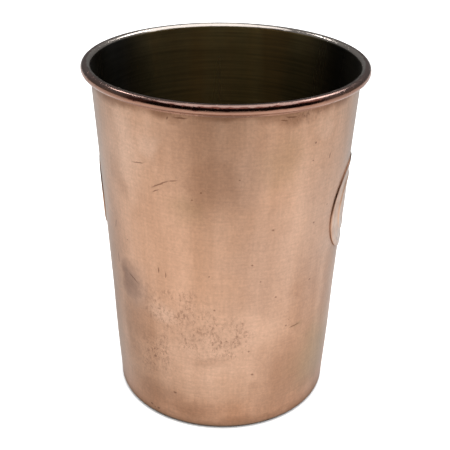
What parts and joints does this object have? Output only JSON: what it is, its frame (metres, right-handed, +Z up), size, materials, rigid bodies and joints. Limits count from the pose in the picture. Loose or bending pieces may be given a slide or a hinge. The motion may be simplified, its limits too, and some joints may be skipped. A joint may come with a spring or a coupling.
{
  "type": "copper cup",
  "caption": "Tapered copper tumbler without a handle, with a rolled rim, a white-metal lining and round raised medallions on its wall.",
  "frame": {"origin": "middle of the base, on the surface that the cup stands on", "axes": "+Z up along the cup's axis, +X towards the medallion on the right of the picture, -Y towards the picture's camera"},
  "size_m": [0.085, 0.085, 0.11],
  "materials": {
    "copper": "brushed copper, handled, with fine scratches and darker patches",
    "lining": "dull white metal, darkened, with fine turning lines",
    "medallion": "worn satin copper",
    "rim_wire": "plain drawn wire"
  },
  "bodies": {
    "root": {"copper_body": "copper", "rim_wire": "rim_wire", "inner_lining": "lining", "medallion_right": "medallion", "medallion_left": "medallion"}
  },
  "joints": []
}
